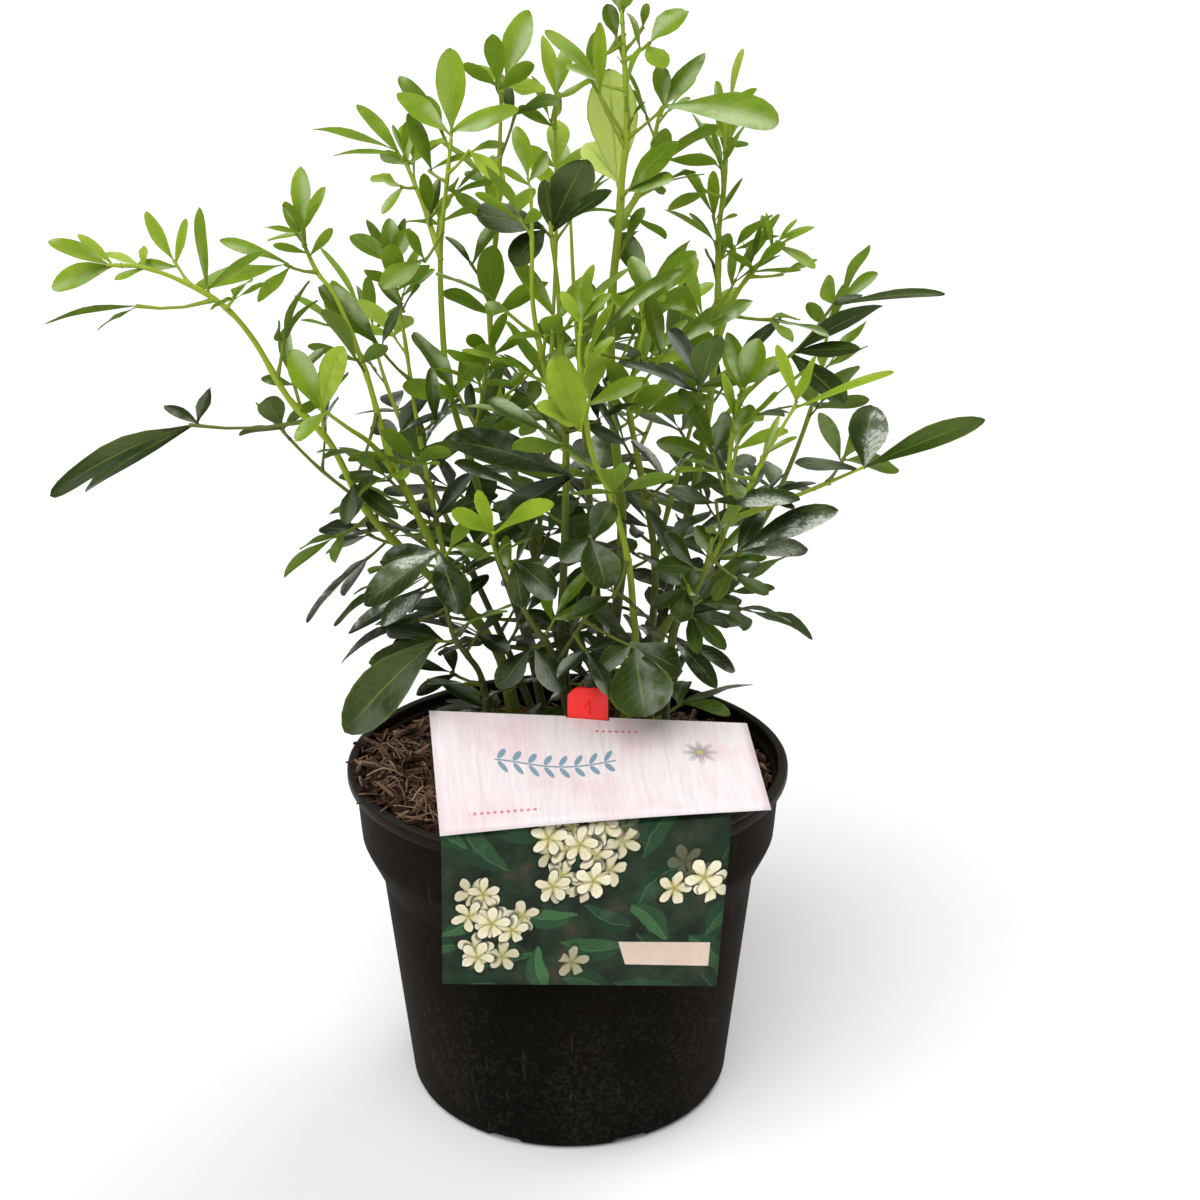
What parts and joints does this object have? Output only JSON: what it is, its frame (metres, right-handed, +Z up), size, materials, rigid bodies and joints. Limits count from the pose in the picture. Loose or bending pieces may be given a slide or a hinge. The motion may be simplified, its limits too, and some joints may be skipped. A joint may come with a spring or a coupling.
{
  "type": "potted mexican orange",
  "caption": "Evergreen shrub with leaves in threes, in a black nursery pot of bark compost, with a folded picture card hung over the rim on a red stake.",
  "frame": {"origin": "middle of the flat base of the pot, on the surface it stands on", "axes": "+Z up along the pot's axis; -Y towards the side with the card, where the viewer stands; +X to the viewer's right"},
  "size_m": [0.3645, 0.2821, 0.475],
  "materials": {
    "pot_plastic": "black moulded plastic with fine scuffs and dust",
    "bark_compost": "loose brown bark fibre and chips",
    "printed_card": "pale printed card with a satin face",
    "stake_plastic": "red moulded plastic",
    "foliage": "leathery evergreen leaves, lime when young and dark and glossy when old"
  },
  "bodies": {
    "root": {"pot": "pot_plastic", "compost": "bark_compost", "card": "printed_card", "stake": "stake_plastic", "stem_far_left": "foliage", "stem_left": "foliage", "stem_mid_left": "foliage", "stem_centre_back": "foliage", "stem_centre": "foliage", "stem_tall": "foliage", "stem_bright": "foliage", "stem_right_upright": "foliage", "stem_right": "foliage", "stem_back_right": "foliage", "stem_low_right": "foliage", "stem_low_left": "foliage", "stem_front": "foliage", "stem_back_left": "foliage", "stem_back": "foliage", "stem_back_far_right": "foliage"}
  },
  "joints": []
}
